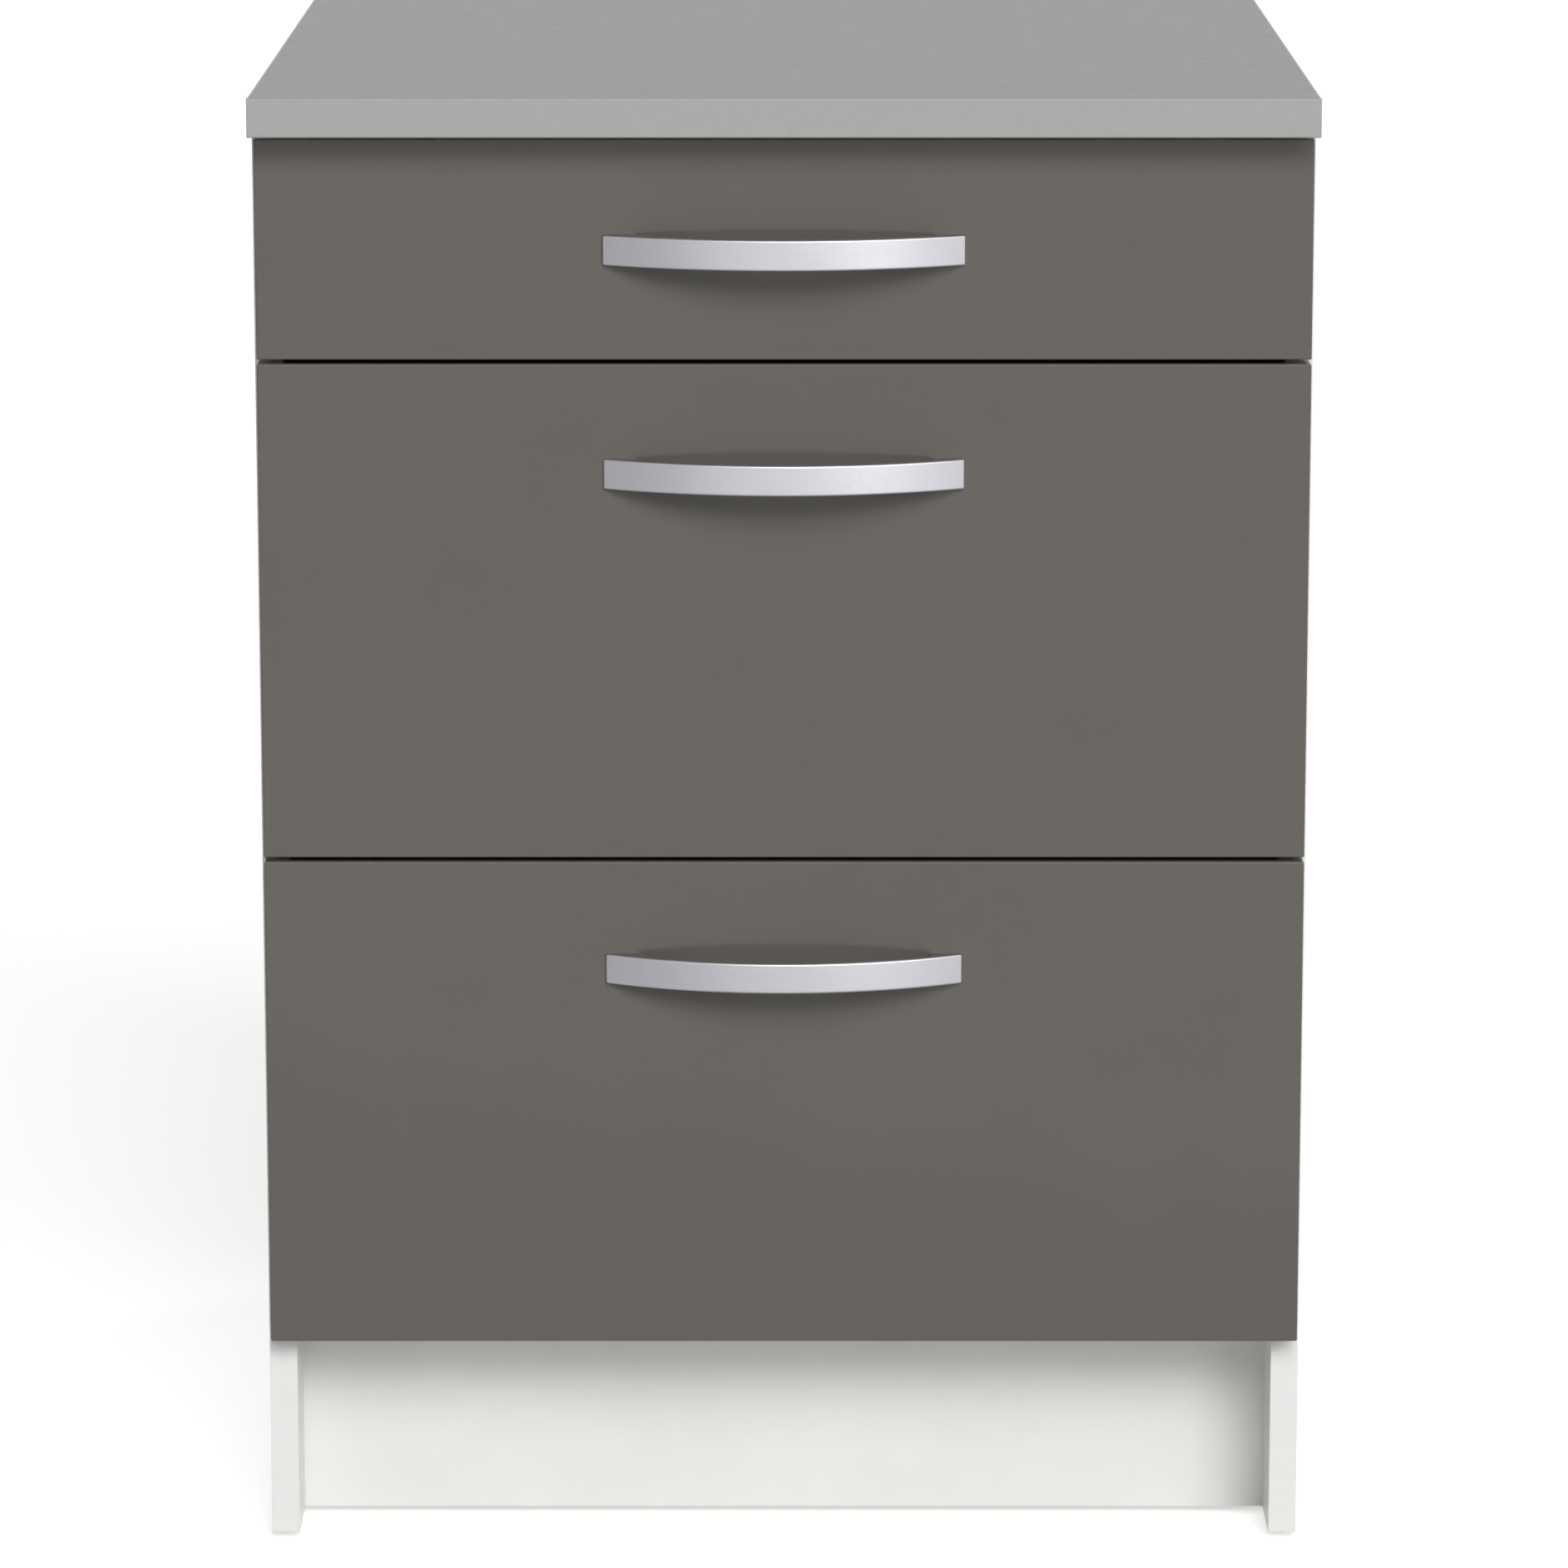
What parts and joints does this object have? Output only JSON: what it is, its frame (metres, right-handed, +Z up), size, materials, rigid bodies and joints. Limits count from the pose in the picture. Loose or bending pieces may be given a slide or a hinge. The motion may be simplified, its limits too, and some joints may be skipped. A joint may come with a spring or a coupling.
{
  "type": "base cabinet with drawers",
  "caption": "Kitchen base cabinet with a grey worktop, one shallow and two deep gloss taupe drawers with bow handles, white carcass and recessed plinth.",
  "frame": {"origin": "on the floor, under the middle of the cabinet's whole box with its handles", "axes": "+X to the right seen from the front, +Y back to the wall, +Z up"},
  "size_m": [0.6, 0.606, 0.85],
  "materials": {
    "worktop_laminate": "satin grey laminate on particle board",
    "white_melamine": "white melamine on particle board",
    "white_hardboard": "white lacquered hardboard",
    "gloss_taupe_front": "gloss taupe lacquer on fibreboard",
    "satin_aluminium": "satin",
    "white_epoxy_steel": "white epoxy powder coat on steel",
    "zinc_plated_steel": "zinc plated",
    "die_cast_zinc": "die cast zinc",
    "nylon": "white nylon",
    "white_plastic": "moulded white plastic",
    "clear_bumper": "soft clear plastic",
    "beech": "fluted beech dowel"
  },
  "bodies": {
    "carcass": {"worktop": "worktop_laminate", "left_side_panel": "white_melamine", "right_side_panel": "white_melamine", "bottom_panel": "white_melamine", "front_top_rail": "white_melamine", "rear_top_rail": "white_melamine", "back_panel": "white_hardboard", "plinth_panel": "white_melamine", "floor_glides": "white_plastic", "carcass_dowels": "beech", "carcass_cam_bolts": "zinc_plated_steel", "carcass_cam_locks": "die_cast_zinc", "worktop_screws": "zinc_plated_steel", "runner_screws": "zinc_plated_steel", "front_bumpers": "clear_bumper", "top_cabinet_runner_left": "white_epoxy_steel", "top_cabinet_runner_right": "white_epoxy_steel", "middle_cabinet_runner_left": "white_epoxy_steel", "middle_cabinet_runner_right": "white_epoxy_steel", "bottom_cabinet_runner_left": "white_epoxy_steel", "bottom_cabinet_runner_right": "white_epoxy_steel"},
    "top_drawer": {"top_drawer_front": "gloss_taupe_front", "top_drawer_back": "white_melamine", "top_drawer_bottom": "white_hardboard", "top_handle": "satin_aluminium", "top_handle_screws": "zinc_plated_steel", "top_drawer_side_left": "white_melamine", "top_drawer_runner_left": "white_epoxy_steel", "top_drawer_side_right": "white_melamine", "top_drawer_runner_right": "white_epoxy_steel", "top_drawer_cam_fittings": "die_cast_zinc", "top_drawer_screws": "zinc_plated_steel"},
    "top_front_rollers": {"top_cabinet_rollers": "nylon"},
    "top_rear_rollers": {"top_drawer_rollers": "nylon"},
    "middle_drawer": {"middle_drawer_front": "gloss_taupe_front", "middle_drawer_back": "white_melamine", "middle_drawer_bottom": "white_hardboard", "middle_handle": "satin_aluminium", "middle_handle_screws": "zinc_plated_steel", "middle_drawer_side_left": "white_melamine", "middle_drawer_runner_left": "white_epoxy_steel", "middle_drawer_side_right": "white_melamine", "middle_drawer_runner_right": "white_epoxy_steel", "middle_drawer_cam_fittings": "die_cast_zinc", "middle_drawer_screws": "zinc_plated_steel"},
    "middle_front_rollers": {"middle_cabinet_rollers": "nylon"},
    "middle_rear_rollers": {"middle_drawer_rollers": "nylon"},
    "bottom_drawer": {"bottom_drawer_front": "gloss_taupe_front", "bottom_drawer_back": "white_melamine", "bottom_drawer_bottom": "white_hardboard", "bottom_handle": "satin_aluminium", "bottom_handle_screws": "zinc_plated_steel", "bottom_drawer_side_left": "white_melamine", "bottom_drawer_runner_left": "white_epoxy_steel", "bottom_drawer_side_right": "white_melamine", "bottom_drawer_runner_right": "white_epoxy_steel", "bottom_drawer_cam_fittings": "die_cast_zinc", "bottom_drawer_screws": "zinc_plated_steel"},
    "bottom_front_rollers": {"bottom_cabinet_rollers": "nylon"},
    "bottom_rear_rollers": {"bottom_drawer_rollers": "nylon"}
  },
  "joints": [
    {"name": "top_drawer_slide", "type": "slide", "parent": "carcass", "child": "top_drawer", "axis": [0, -1, 0], "range_m": [0, 0.37]},
    {"name": "top_front_roller_turn", "type": "hinge", "parent": "carcass", "child": "top_front_rollers", "pos_m": [0, -0.241, 0.7362], "axis": [1, 0, 0], "continuous": true},
    {"name": "top_rear_roller_turn", "type": "hinge", "parent": "top_drawer", "child": "top_rear_rollers", "pos_m": [0, 0.229, 0.737], "axis": [1, 0, 0], "continuous": true},
    {"name": "middle_drawer_slide", "type": "slide", "parent": "carcass", "child": "middle_drawer", "axis": [0, -1, 0], "range_m": [0, 0.37]},
    {"name": "middle_front_roller_turn", "type": "hinge", "parent": "carcass", "child": "middle_front_rollers", "pos_m": [0, -0.241, 0.4487], "axis": [1, 0, 0], "continuous": true},
    {"name": "middle_rear_roller_turn", "type": "hinge", "parent": "middle_drawer", "child": "middle_rear_rollers", "pos_m": [0, 0.229, 0.4495], "axis": [1, 0, 0], "continuous": true},
    {"name": "bottom_drawer_slide", "type": "slide", "parent": "carcass", "child": "bottom_drawer", "axis": [0, -1, 0], "range_m": [0, 0.37]},
    {"name": "bottom_front_roller_turn", "type": "hinge", "parent": "carcass", "child": "bottom_front_rollers", "pos_m": [0, -0.241, 0.1612], "axis": [1, 0, 0], "continuous": true},
    {"name": "bottom_rear_roller_turn", "type": "hinge", "parent": "bottom_drawer", "child": "bottom_rear_rollers", "pos_m": [0, 0.229, 0.162], "axis": [1, 0, 0], "continuous": true}
  ],
  "couplings": [
    {"joint": "top_front_roller_turn", "follows": "top_drawer_slide", "rad_per_m": 113.64},
    {"joint": "top_rear_roller_turn", "follows": "top_drawer_slide", "rad_per_m": 104.17},
    {"joint": "middle_front_roller_turn", "follows": "middle_drawer_slide", "rad_per_m": 113.64},
    {"joint": "middle_rear_roller_turn", "follows": "middle_drawer_slide", "rad_per_m": 104.17},
    {"joint": "bottom_front_roller_turn", "follows": "bottom_drawer_slide", "rad_per_m": 113.64},
    {"joint": "bottom_rear_roller_turn", "follows": "bottom_drawer_slide", "rad_per_m": 104.17}
  ]
}
